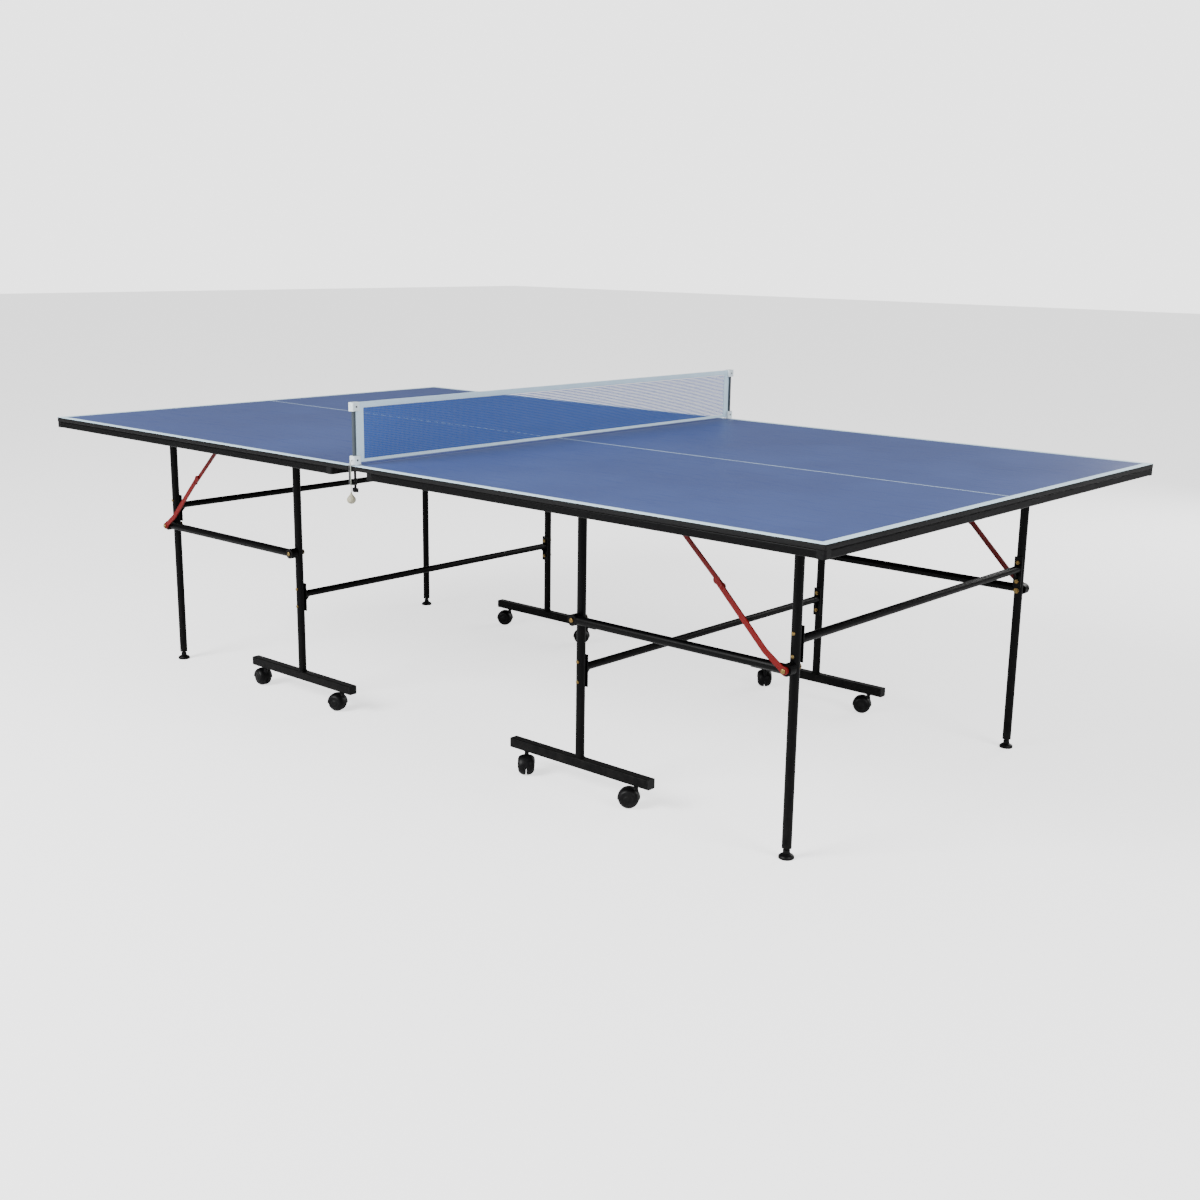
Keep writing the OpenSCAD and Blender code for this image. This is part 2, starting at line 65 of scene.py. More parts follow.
def addCamera(setup):
    data = bpy.data.cameras.new("camera")
    data.lens = setup["lens"]
    data.sensor_width = setup["sensor"]
    data.clip_start = 0.05
    data.clip_end = 200
    camera = bpy.data.objects.new("camera", data)
    bpy.context.scene.collection.objects.link(camera)
    camera.matrix_world = (
        Matrix.Translation(setup["place"])
        @ Matrix.Rotation(math.radians(setup["heading"]), 4, "Z")
        @ Matrix.Rotation(math.radians(90 - setup["down"]), 4, "X")
        @ Matrix.Rotation(math.radians(setup["roll"]), 4, "Z")
    )
    bpy.context.scene.camera = camera


addCamera(cameraSetup)

# ---- surfaces ----


def gridPart(points, wrapColumns=False, capped=False, span=(1, 1), paint=0):
    # quads between neighbouring points of a grid, or of many equal grids stacked in front of it;
    # u runs along the columns and v along the rows, each up to its span
    points = points.reshape((-1,) + points.shape[-3:])
    count, rows, columns = points.shape[:3]
    row = np.arange(rows - 1)[:, None]
    column = np.arange(columns if wrapColumns else columns - 1)[None, :]
    corners = [(row, column), (row, column + 1), (row + 1, column + 1), (row + 1, column)]
    quads = np.stack([r * columns + c % columns for r, c in corners], -1).reshape(-1, 4)
    across, down = span[0] / column.size, span[1] / row.size
    flat = [np.stack(np.broadcast_arrays(c * across, r * down), -1) for r, c in corners]
    flat = np.stack(flat, -2).reshape(-1, 2)
    start = np.arange(count)[:, None, None] * rows * columns
    faces = (start + quads).reshape(-1, 4).tolist()
    uv = np.tile(flat, (count, 1))
    if capped:
        ring = np.arange(columns)
        ends = np.stack([ring[::-1], ring + (rows - 1) * columns])
        faces += (start + ends).reshape(-1, columns).tolist()
        uv = np.vstack([uv, np.zeros((2 * count * columns, 2))])
    return {"points": points.reshape(-1, 3), "faces": faces, "uv": uv, "paint": paint}


mergeWithin = 2e-6  # m, closer points are one


def addPiece(name, parts, finishes, body, standsFor=(), creaseAngle=35):
    # one mesh from its parts, seams and poles merged, faces outwards, riding on a body
    faces, paints, first = [], [], 0
    for part in parts:
        faces += [[i + first for i in face] for face in part["faces"]]
        paints += [part["paint"]] * len(part["faces"])
        first += len(part["points"])
    mesh = bpy.data.meshes.new(name)
    mesh.from_pydata(np.vstack([part["points"] for part in parts]).tolist(), [], faces)
    mesh.uv_layers.new(name="along").data.foreach_set("uv", np.vstack([part["uv"] for part in parts]).ravel())
    mesh.polygons.foreach_set("material_index", paints)
    work = bmesh.new()
    work.from_mesh(mesh)
    bmesh.ops.remove_doubles(work, verts=work.verts, dist=mergeWithin)
    bmesh.ops.recalc_face_normals(work, faces=work.faces)
    work.to_mesh(mesh)
    work.free()
    mesh.shade_smooth()
    mesh.set_sharp_from_angle(angle=math.radians(creaseAngle))
    for finish in finishes:
        mesh.materials.append(finish)
    piece = bpy.data.objects.new(name, mesh)
    bpy.context.scene.collection.objects.link(piece)
    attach(piece, body)
    if standsFor:
        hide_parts(*standsFor)
    return piece


def sweep(path, sideways, section):
    # each point is the path's, plus the section's first number times the fixed sideways direction,
    # plus its second number times the direction square to that and to the path
    path, sideways = np.asarray(path, float), np.asarray(sideways, float)
    along = np.gradient(path, axis=0)
    lift = np.cross(along, sideways)
    lift /= np.linalg.norm(lift, axis=1, keepdims=True)
    section = np.broadcast_to(section, (len(path),) + np.shape(section)[-2:])
    return path[:, None] + section[..., :1] * sideways + section[..., 1:] * lift[:, None]


axisFrames = {  # along, then the two directions of the circle
    "x": np.array([[1, 0, 0], [0, 1, 0], [0, 0, 1]], float),
    "y": np.array([[0, 1, 0], [0, 0, 1], [1, 0, 0]], float),
    "z": np.array([[0, 0, 1], [1, 0, 0], [0, 1, 0]], float),
}


def lathe(profile, centres, axis="z", around=32, flip=1, wave=None):
    # a profile of (radius, distance along the axis) turned about the axis, at each of the centres;
    # wave, of the angle, scales the radius
    along, first, second = axisFrames[axis]
    profile = np.asarray(profile, float)
    angle = np.linspace(0, 2 * np.pi, around, endpoint=False)
    radius = profile[:, :1] * (1 if wave is None else wave(angle))
    ring = np.cos(angle)[:, None] * first + np.sin(angle)[:, None] * second
    shape = radius[..., None] * ring + flip * profile[:, 1, None, None] * along
    return np.asarray(centres, float).reshape(-1, 1, 1, 3) + shape


def loopAround(width, height, corner, steps=4):
    # closed outline of a rectangle with rounded corners, as (across, up)
    quarter = np.linspace(0, np.pi / 2, steps + 1)
    outline = []
    for turn, (sx, sy) in enumerate([(1, 1), (-1, 1), (-1, -1), (1, -1)]):
        angle = quarter + turn * np.pi / 2
        centre = np.array([sx * (width / 2 - corner), sy * (height / 2 - corner)])
        outline.append(centre + corner * np.stack([np.cos(angle), np.sin(angle)], -1))
    return np.vstack(outline)


def beadRing(centre, axis, radius, bead, ripples=26):
    # a weld: a thin ring whose thickness rises and falls round it
    along, first, second = axisFrames[axis]
    angle = np.linspace(0, 2 * np.pi, ripples * 4, endpoint=False)[:, None]
    turn = np.linspace(0, 2 * np.pi, 8, endpoint=False)[None, :]
    thick = bead * (1 + 0.16 * np.sin(ripples * angle) + 0.1 * np.sin(3 * angle + 1))
    out = (radius + thick * np.cos(turn))[..., None]
    ring = np.cos(angle)[..., None] * first + np.sin(angle)[..., None] * second
    points = np.asarray(centre, float) + out * ring + (thick * np.sin(turn))[..., None] * along
    return np.concatenate([points, points[:1]])


# ---- tension cord, hanging beside the net's near clamp ----

cordSetup = {
    "start": (0.017, -0.762, 0.7625),
    "bend": [(0, 12), (2, 12), (4, 11), (5.5, 9), (6.5, 6), (7, 2)],  # mm outwards and up from the start
    "hang": range(-3, -69, -5),  # mm up from the start, straight below the bend
    "radius": 0.00096,
    "diameter": 0.002,
}
cordOut, cordUp = np.array(cordSetup["bend"] + [(7, up) for up in cordSetup["hang"]]).T / 1000
cordRoute = np.array(cordSetup["start"]) + np.stack([np.zeros_like(cordOut), -cordOut, cordUp], -1)

# ---- finishes ----


class Signal:
    # one shader socket; arithmetic on it adds the Math nodes
    def __init__(self, finish, socket):
        self.finish = finish
        self.socket = socket

    def __add__(self, other):
        return self.finish.arithmetic("ADD", self, other)

    def __sub__(self, other):
        return self.finish.arithmetic("SUBTRACT", self, other)

    def __rsub__(self, other):
        return self.finish.arithmetic("SUBTRACT", other, self)

    def __mul__(self, other):
        return self.finish.arithmetic("MULTIPLY", self, other)

    def __gt__(self, other):
        return self.finish.arithmetic("GREATER_THAN", self, other)

    def __lt__(self, other):
        return self.finish.arithmetic("LESS_THAN", self, other)

    __radd__ = __add__
    __rmul__ = __mul__

    def size(self):
        return self.finish.arithmetic("ABSOLUTE", self)

    def most(self, other):
        return self.finish.arithmetic("MAXIMUM", self, other)


class Finish:
    # a material whose Principled shader is fed by patterns; values given here sit on its own sockets
    def __init__(self, name, values):
        self.material = bpy.data.materials.new(name)
        self.material.use_nodes = True
        self.tree = self.material.node_tree
        self.shader = self.tree.nodes["Principled BSDF"]
        for socket, value in values.items():
            self.shader.inputs[socket].default_value = value
        coordinates = self.tree.nodes.new("ShaderNodeTexCoord")
        self.place = Signal(self, coordinates.outputs["Object"])
        self.along = Signal(self, coordinates.outputs["UV"])

    def feed(self, socket, value):
        if isinstance(value, Signal):
            self.tree.links.new(value.socket, socket)
        else:
            socket.default_value = value

    def node(self, kind, settings=None, inputs=None, out=0):
        made = self.tree.nodes.new(kind)
        for key, value in (settings or {}).items():
            if key == "stops":
                ramp = made.color_ramp.elements
                while len(ramp) < len(value):
                    ramp.new(0.5)
                for element, (position, colour) in zip(ramp, value):
                    element.position = position
                    element.color = colour
            else:
                setattr(made, key, value)
        for key, value in (inputs or {}).items():
            self.feed(made.inputs[key], value)
        return Signal(self, made.outputs[out])

    def arithmetic(self, operation, first, second=None):
        inputs = {0: first} if second is None else {0: first, 1: second}
        return self.node("ShaderNodeMath", {"operation": operation}, inputs)

    def axes(self, vector):
        split = self.tree.nodes.new("ShaderNodeSeparateXYZ")
        self.tree.links.new(vector.socket, split.inputs[0])
        return [Signal(self, socket) for socket in split.outputs]

    def stretched(self, vector, amounts):
        return self.node("ShaderNodeVectorMath", {"operation": "MULTIPLY"}, {0: vector, 1: amounts})

    def noise(self, scale, detail=3, roughness=0.55, vector=None):
        inputs = {"Vector": vector or self.place, "Scale": scale, "Detail": detail, "Roughness": roughness}
        return self.node("ShaderNodeTexNoise", None, inputs)

    def ramp(self, value, low, high):
        # 0 below low, 1 above high, and a straight slope between
        return self.node("ShaderNodeMapRange", None, {0: value, 1: low, 2: high})

    def blend(self, share, first, second, how="MIX"):
        return self.node(
            "ShaderNodeMix", {"data_type": "RGBA", "blend_type": how}, {0: share, 6: first, 7: second}, 2
        )

    def bump(self, height, depth, strength=1.0, under=None):
        inputs = {"Strength": strength, "Distance": depth, "Height": height}
        if under:
            inputs["Normal"] = under
        return self.node("ShaderNodeBump", None, inputs)

    def wear(self, colour=None, roughness=None, normal=None):
        for socket, value in (("Base Color", colour), ("Roughness", roughness), ("Normal", normal)):
            if value is not None:
                self.feed(self.shader.inputs[socket], value)
        return self.material


def rgb(red, green, blue):
    return (red, green, blue, 1)


boardPaint = {
    "blue": rgb(0.046, 0.074, 0.222),
    "worn": rgb(0.06, 0.094, 0.26),
    "speckle": rgb(0.12, 0.16, 0.42),
    "line": rgb(0.66, 0.87, 1.0),
    "scuffedLine": rgb(0.52, 0.66, 0.8),
    "edge": rgb(0.0012, 0.0012, 0.0014),
    "sideLine": 0.7425,  # m from the middle to the inner edge of the side lines
    "endLine": 1.35,
    "halfCentreLine": 0.0016,
    "topSkin": 0.7594,  # above this height the board is painted, below it is the black edge
}


def paintBoard(setup):
    paint = Finish("paintedBoard", {"Specular IOR Level": 0.2})
    x, y, z = paint.axes(paint.place)
    shake = paint.noise(260, 2) * 0.0005 - 0.00025  # the masked edge of a line is never quite straight
    sides = (y.size() + shake) > setup["sideLine"]
    ends = (x.size() + shake) > setup["endLine"]
    middle = (y.size() + shake) < setup["halfCentreLine"]
    line = sides.most(ends).most(middle)
    clouds = paint.noise(3.2, 4, 0.6)
    blue = paint.blend(paint.ramp(clouds, 0.35, 0.7), setup["blue"], setup["worn"])
    grain = paint.noise(2600, 2, 0.6)
    blue = paint.blend(paint.ramp(grain, 0.56, 0.75) * 0.22, blue, setup["speckle"])
    patches = paint.ramp(paint.noise(45, 5, 0.7), 0.5, 0.8)
    white = paint.blend(patches * 0.25, setup["line"], setup["scuffedLine"])
    top = paint.blend(line, blue, white)
    colour = paint.blend(z > setup["topSkin"], setup["edge"], top)
    scuffs = paint.ramp(paint.noise(9, 6, 0.75, paint.stretched(paint.place, (1, 5, 1))), 0.52, 0.74)
    roughness = 0.4 + paint.ramp(clouds, 0.3, 0.75) * 0.07 + scuffs * 0.09 + line * 0.06
    skin = paint.bump(grain, 0.00012, 0.5)
    edges = paint.bump(line + paint.noise(700, 3) * 0.4, 0.00010, 0.6, skin)
    return paint.wear(colour, roughness, edges)


steelPaints = {
    "frameSteel": {
        "colour": rgb(0.0009, 0.0009, 0.0011), "chip": rgb(0.007, 0.007, 0.008),
        "roughness": 0.34, "shine": 0.09,
    },
    "redSteel": {
        "colour": rgb(0.135, 0.0022, 0.0022), "chip": rgb(0.07, 0.0016, 0.0016),
        "roughness": 0.36, "shine": 0.2,
    },
    "postGrey": {
        "colour": rgb(0.045, 0.058, 0.07), "chip": rgb(0.1, 0.115, 0.13),
        "roughness": 0.36, "shine": 0.35,
    },
}


def paintSteel(name, setup):
    # powder coat: fine orange peel, faint clouds, dust that settles low down, small scratches
    paint = Finish(name, {"Specular IOR Level": setup["shine"]})
    z = paint.axes(paint.place)[2]
    peel = paint.noise(950, 3, 0.5)
    clouds = paint.noise(14, 4, 0.6)
    scratches = paint.ramp(paint.noise(120, 5, 0.8, paint.stretched(paint.place, (1, 1, 0.18))), 0.66, 0.72)
    dust = (1 - paint.ramp(z, 0.03, 0.35)) * paint.ramp(paint.noise(38, 6, 0.7), 0.42, 0.72)
    colour = paint.blend(scratches * 0.6, setup["colour"], setup["chip"])
    colour = paint.blend(dust * 0.06, colour, rgb(0.12, 0.11, 0.10))
    roughness = setup["roughness"] + paint.ramp(clouds, 0.35, 0.7) * 0.09 + dust * 0.2 + scratches * 0.1
    return paint.wear(colour, roughness, paint.bump(peel, 0.00012, 0.45))


mouldings = {
    "blackPlastic": {
        "colour": rgb(0.0016, 0.0016, 0.0019), "rub": rgb(0.006, 0.006, 0.0066),
        "roughness": 0.44, "shine": 0.15,
    },
    "whitePlastic": {
        "colour": rgb(0.70, 0.79, 0.82), "rub": rgb(0.54, 0.62, 0.64),
        "roughness": 0.34, "shine": 0.35,
    },
    "wheelRubber": {
        "colour": rgb(0.002, 0.002, 0.0023), "rub": rgb(0.008, 0.0078, 0.0074),
        "roughness": 0.5, "shine": 0.15,
    },
    "weightPlastic": {
        "colour": rgb(0.36, 0.34, 0.25), "rub": rgb(0.15, 0.14, 0.10),
        "roughness": 0.46, "shine": 0.3,
    },
}


def mould(name, setup):
    # moulded plastic: spark-eroded grain, faint flow clouds and rubbed patches
    paint = Finish(name, {"Specular IOR Level": setup["shine"]})
    grain = paint.noise(1900, 2, 0.6)
    flow = paint.noise(55, 5, 0.65)
    rubbed = paint.ramp(flow, 0.5, 0.72)
    colour = paint.blend(rubbed * 0.55, setup["colour"], setup["rub"])
    roughness = setup["roughness"] + rubbed * 0.12 - paint.ramp(grain, 0.4, 0.7) * 0.05
    return paint.wear(colour, roughness, paint.bump(grain + flow * 0.6, 0.00015, 0.5))


platings = {
    "yellowZinc": {
        "colours": [rgb(0.24, 0.145, 0.045), rgb(0.2, 0.16, 0.07), rgb(0.19, 0.095, 0.055)],
        "roughness": 0.36,
    },
    "brightZinc": {
        "colours": [rgb(0.55, 0.57, 0.6), rgb(0.44, 0.46, 0.5), rgb(0.62, 0.63, 0.64)],
        "roughness": 0.32,
    },
    # dark screw metal; the same finish is painted shade on the clamp straps below their shelf
    "darkScrewAndShade": {
        "colours": [rgb(0.06, 0.06, 0.065), rgb(0.1, 0.1, 0.1), rgb(0.04, 0.04, 0.04)],
        "roughness": 0.38,
    },
}


def plate(name, setup):
    # plated steel: the colour drifts over the passivated skin, with fine brushing in the roughness
    paint = Finish(name, {"Metallic": 1.0})
    first, second, third = setup["colours"]
    colour = paint.blend(paint.ramp(paint.noise(140, 3), 0.4, 0.62), first, second)
    colour = paint.blend(paint.ramp(paint.noise(330, 4, 0.7), 0.55, 0.72) * 0.6, colour, third)
    brushing = paint.noise(900, 3, 0.6, paint.stretched(paint.place, (1, 1, 0.1)))
    roughness = setup["roughness"] + paint.ramp(brushing, 0.3, 0.7) * 0.14
    return paint.wear(colour, roughness, paint.bump(brushing, 0.00006, 0.4))


def spinNylon(name, colour, shade, pitch, roughness):
    # twisted yarn: slanting bands round the strand, from its own map
    paint = Finish(name, {"Sheen Weight": 0.15, "Specular IOR Level": 0.3})
    u, v = paint.axes(paint.along)[:2]
    twist = paint.arithmetic("SINE", v * (2 * math.pi / pitch) + u * (4 * math.pi))
    band = paint.ramp(twist, -0.6, 0.8)
    fuzz = paint.noise(1500, 3, 0.7)
    tone = paint.blend(band, shade, colour)
    tone = paint.blend(paint.ramp(fuzz, 0.5, 0.75) * 0.3, tone, shade)
    return paint.wear(tone, roughness + fuzz * 0.15, paint.bump(band + fuzz * 0.3, 0.0002, 0.7))


def weaveTape(name, colour, shade):
    # plain woven tape: two crossing sets of fine threads, with a little grime
    paint = Finish(name, {"Sheen Weight": 0.2, "Specular IOR Level": 0.2})
    threads = 7800  # radians of the weave's wave in a metre
    y, z = paint.axes(paint.place)[1:]
    warp = paint.arithmetic("SINE", y * threads)
    weft = paint.arithmetic("SINE", z * threads)
    weave = paint.ramp(warp * weft, -0.7, 0.9)
    grime = paint.ramp(paint.noise(26, 6, 0.7), 0.45, 0.75)
    tone = paint.blend(weave, shade, colour)
    tone = paint.blend(grime * 0.22, tone, shade)
    return paint.wear(tone, 0.72 + weave * 0.12, paint.bump(weave + paint.noise(900) * 0.4, 0.00018, 0.7))


finishes = {
    "table_board": paintBoard(boardPaint),
    "frame_steel": paintSteel("frameSteel", steelPaints["frameSteel"]),
    "red_steel": paintSteel("redSteel", steelPaints["redSteel"]),
    "post_grey": paintSteel("postGrey", steelPaints["postGrey"]),
    "black_plastic": mould("blackPlastic", mouldings["blackPlastic"]),
    "white_plastic": mould("whitePlastic", mouldings["whitePlastic"]),
    "wheel_rubber": mould("wheelRubber", mouldings["wheelRubber"]),
    "weight": mould("weightPlastic", mouldings["weightPlastic"]),
    "zinc": plate("yellowZinc", platings["yellowZinc"]),
    "bright_steel": plate("brightZinc", platings["brightZinc"]),
    "net_fabric": spinNylon("netNylon", rgb(0.038, 0.13, 0.46), rgb(0.028, 0.096, 0.35), 0.004, 0.55),
    "cord": spinNylon("braidedCord", rgb(0.42, 0.45, 0.38), rgb(0.2, 0.23, 0.2), 0.0016, 0.7),
}
tapeFinish = weaveTape("netTape", rgb(0.68, 0.88, 1.0), rgb(0.54, 0.72, 0.84))
threadFinish = spinNylon("stitchThread", rgb(0.8, 0.84, 0.86), rgb(0.55, 0.6, 0.65), 0.001, 0.6)
# dark screws, and painted shade on the clamp straps below their shelf
screwAndShadeFinish = plate("darkScrewAndShade", platings["darkScrewAndShade"])
for row in frame["record"]["subparts"]:
    node = cadNodes[row["node"]]
    node.data.materials.clear()
    node.data.materials.append(finishes[row["material_slot"]])
print("finishes made")

# ---- playing boards ----

boardShape = {"corner": 0.003, "edge": 0.0012, "edgeSteps": 5, "flatBorder": 0.008, "smallest": 0.0004}


def boardSlab(low, high, setup):
    # rounded rectangle, carried round the edge profile: down the flat border, over the top edge,
    # down the side, under the bottom edge and back in
    corner, edge = setup["corner"], setup["edge"]
    bend = np.linspace(0, np.pi / 2, setup["edgeSteps"] + 1)
    inset = np.concatenate([[setup["flatBorder"]], edge * (1 - np.sin(bend))])
    height = np.concatenate([[high[2]], high[2] - edge * (1 - np.cos(bend))])
    inset = np.concatenate([inset, inset[::-1]])
    height = np.concatenate([height, low[2] + high[2] - height[::-1]])
    quarter = np.linspace(0, np.pi / 2, 7)
    rings = []
    for turn, (sx, sy) in enumerate([(1, 1), (-1, 1), (-1, -1), (1, -1)]):
        radius = np.maximum(corner - inset, setup["smallest"])[:, None]
        reach = np.maximum(corner, inset + setup["smallest"])[:, None]
        angle = (quarter + turn * np.pi / 2)[None, :]
        cx = (high[0] if sx > 0 else low[0]) - sx * reach
        cy = (high[1] if sy > 0 else low[1]) - sy * reach
        rings.append(np.stack(np.broadcast_arrays(
            cx + radius * np.cos(angle), cy + radius * np.sin(angle), height[:, None]), -1))
    return np.concatenate(rings, axis=1)


for half in "ab":
    low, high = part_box(f"tabletop_{half}")
    slab = gridPart(boardSlab(low, high, boardShape), wrapColumns=True, capped=True)
    addPiece(f"board_{half}", [slab], [finishes["table_board"]],
             f"top_{half}", [f"tabletop_{half}"], 40)
print("boards made")

# ---- struts: pressed channels ----

strutShape = {
    "halfWidth": {"upper": 0.0058, "lower": 0.007},
    "eye": {"upper": 0.0078, "lower": 0.0093},
    "layer": {"upper": (0.5465, 0.55), "lower": (0.5505, 0.554)},  # inner and outer face, from the middle
    "wall": 0.0012,
    "roll": 0.0011,
    "steps": 90,
    "smoothing": (600, 20),  # fine points along a strap, and how many on each side are averaged
    "top": (0.83, 0.72),  # pivots and elbow as x and z on half a
    "elbow": (0.97904, 0.58365),
    "foot": (1.147, 0.43),
    "kink": (0.06, 0.008),  # bend of the lower strap, up it from the foot and square to it
    "tail": 0.018,
    "rivet": (0.5535, 0.0055, 0.0029),  # y, radius, height of the dome
    "collar": [(0, 0.546), (0.0085, 0.546), (0.0085, 0.5523), (0, 0.5523)],
}


def strapLine(points, steps):
    # a polyline smoothed where it bends, with its stations crowded towards both ends
    points = np.asarray(points, float)
    reach = np.concatenate([[0], np.cumsum(np.linalg.norm(np.diff(points, axis=0), axis=1))])
    station = reach[-1] * (1 - np.cos(np.linspace(0, np.pi, steps))) / 2
    count, beside = strutShape["smoothing"]
    fine = np.linspace(0, reach[-1], count)
    line = np.stack([np.interp(fine, reach, points[:, k]) for k in range(3)], -1)
    kernel = np.hanning(2 * beside + 1)
    padded = np.pad(line, ((beside, beside), (0, 0)), "reflect", reflect_type="odd")
    smooth = np.stack([np.convolve(padded[:, k], kernel / kernel.sum(), "valid") for k in range(3)], -1)
    return np.stack([np.interp(station, fine, smooth[:, k]) for k in range(3)], -1), station


def channelSections(station, eyes, setup, inner, outer, sign):
    # the half width is the strap's, swollen to a round eye at each pivot and closed to a round end beyond it;
    # the section is a shallow channel, its back outside and its two rolled flanges towards the leg
    first, last = eyes
    total = station[-1]
    half = np.full(len(station), setup["halfWidth"])
    for eye in (first, last):
        swell = setup["eye"] ** 2 - (station - eye) ** 2
        half = np.maximum(half, np.sqrt(np.maximum(swell, 0)))
    for end, eye in ((0, setup["eye"]), (total, total - setup["eye"])):
        beyond = (station - eye) * (-1 if end == 0 else 1)
        cap = np.sqrt(np.maximum(setup["eye"] ** 2 - np.maximum(beyond, 0) ** 2, 1e-9))
        half = np.where(beyond > 0, np.minimum(half, cap), half)
    roll = np.minimum(setup["roll"], half * 0.6)[:, None]
    bend = np.linspace(0, np.pi / 2, 5)[None, :]
    outsideX = half[:, None] - roll + roll * np.cos(bend)
    outsideY = outer - roll + roll * np.sin(bend)
    insideHalf = np.maximum(half - setup["wall"], 0.00005)[:, None]
    one = np.ones_like(insideHalf)
    across = np.hstack([half[:, None], outsideX, -outsideX[:, ::-1], -half[:, None],
                        -insideHalf, -insideHalf, insideHalf, insideHalf])
    deep = outer - setup["wall"]
    out = np.hstack([inner * one, outsideY, outsideY[:, ::-1], inner * one,
                     inner * one, deep * one, deep * one, inner * one])
    return np.stack([out * sign, across], -1)


def domedRivet(centre, radius, height, sign):
    bend = np.linspace(0, np.pi / 2, 7)
    profile = np.stack([radius * np.cos(bend), height * np.sin(bend)], -1)
    profile = np.vstack([[0, -0.001], [radius, -0.001], profile, [0, height]])
    return lathe(profile, centre, "y", 28, sign)


def addStruts(half, side, shape):
    # the two straps of a pair are mirror images across the table
    top, elbow, foot = (np.array(shape[key]) * (side, 1) for key in ("top", "elbow", "foot"))
    down = (foot - top) / np.linalg.norm(foot - top)
    square = side * np.array([down[1], -down[0]])
    kink = foot - shape["kink"][0] * down + shape["kink"][1] * square
    tail = elbow - shape["tail"] * down
    upperParts, lowerParts = [], []
    for sign in (1, -1):
        straps = (("upper", upperParts, (top, elbow)), ("lower", lowerParts, (foot, kink, tail)))
        for strap, parts, ends in straps:
            eye = shape["eye"][strap]
            setup = dict(shape, eye=eye, halfWidth=shape["halfWidth"][strap])
            knots = np.array([[p[0], 0, p[1]] for p in ends], float)
            first = knots[0] + (knots[0] - knots[1]) / np.linalg.norm(knots[0] - knots[1]) * eye
            last = knots[-1] + (knots[-1] - knots[-2]) / np.linalg.norm(knots[-1] - knots[-2]) * eye
            line, station = strapLine(np.vstack([first, knots[1:-1], last]), shape["steps"])
            eyes = (eye, station[-1] - eye)
            sections = channelSections(station, eyes, setup, *shape["layer"][strap], sign)
            points = sweep(line, (0, 1, 0), sections)
            parts.append(gridPart(points, wrapColumns=True, capped=True, span=(0.04, station[-1])))
        y, radius, height = shape["rivet"]
        lowerParts += [
            gridPart(domedRivet((elbow[0], sign * y, elbow[1]), radius, height, sign), wrapColumns=True),
            gridPart(lathe(shape["collar"], (foot[0], 0, foot[1]), "y", 32, sign), wrapColumns=True),
        ]
    addPiece(f"strut_top_{half}", upperParts, [finishes["red_steel"]],
             f"upper_struts_{half}", [f"strut_uppers_{half}"])
    addPiece(f"strut_bottom_{half}", lowerParts, [finishes["red_steel"]],
             f"lower_struts_{half}", [f"strut_lowers_{half}"])


for half, side in halves:
    addStruts(half, side, strutShape)
print("struts made")

# ---- net ----

netShape = {
    "x": 0.012,
    "halfLength": 0.7225,  # of the mesh, between the side bands
    "low": 0.773,
    "high": 0.8985,
    "pitch": 0.0042,
    "strand": (0.00048, 0.00094),  # half thickness and half width
    "weave": 0.00035,
    "slack": 0.0002,
    "tapeEnd": 0.7378,
    "tapeThick": 0.0014,
    "topTape": (0.8975, 0.9123),
    "bottomTape": (0.7662, 0.7742),
    "bandThick": 0.0016,
    "band": (0.7225, 0.7462),
    "bandTall": (0.784, 0.891),
    "stitch": 0.0041,
    "thread": (0.0002, 0.00038),  # half thickness and half width of a stitch
    "threadOut": 0.00072,
}


def weaveNet(setup):
    # every strand is a flat diamond tube whose middle goes a little in front of and behind the net's
    # plane by turns, so that it passes over one crossing strand and under the next
    x, pitch = setup["x"], setup["pitch"]
    columns = int(2 * setup["halfLength"] / pitch)
    rows = int((setup["high"] - setup["low"]) / pitch)
    y = (np.arange(columns + 1) - columns / 2) * pitch
    z = setup["low"] + np.arange(rows + 1) * (setup["high"] - setup["low"]) / rows
    slack = setup["slack"] * np.sin(y * 31)[:, None] * np.sin((z - setup["low"]) * 25)[None, :]
    turns = np.arange(columns + 1)[:, None] + np.arange(rows + 1)[None, :]
    over = np.where(turns % 2 == 0, 1, -1) * setup["weave"]
    knots = np.stack(np.broadcast_arrays(x + over, y[:, None] + slack, z[None, :] + slack * 0.5), -1)
    crossing = knots.transpose(1, 0, 2)[1:-1].copy()
    crossing[..., 0] = 2 * x - crossing[..., 0]
    thin, wide = setup["strand"]
    diamond = np.array([[thin, 0], [0, wide], [-thin, 0], [0, -wide]])
    parts = []
    for lines, across in ((knots, (0, 1, 0)), (crossing, (0, 0, 1))):
        section = diamond[:, :1] * np.array([1, 0, 0]) + diamond[:, 1:] * np.array(across)
        tubes = lines[:, :, None] + section
        parts.append(gridPart(tubes, wrapColumns=True, capped=True, span=(1, tubes.shape[1] * pitch)))
    return parts


def tapeLoop(height, thick, bulge):
    # closed outline of a folded tape: flat sides, round edges, and thicker at its folded edge
    outline = loopAround(thick, height, thick * 0.49, 4)
    up = (outline[:, 1] / height + 0.5).clip(0, 1)
    return np.stack([outline[:, 0] * (1 + bulge * up ** 6), outline[:, 1]], -1)


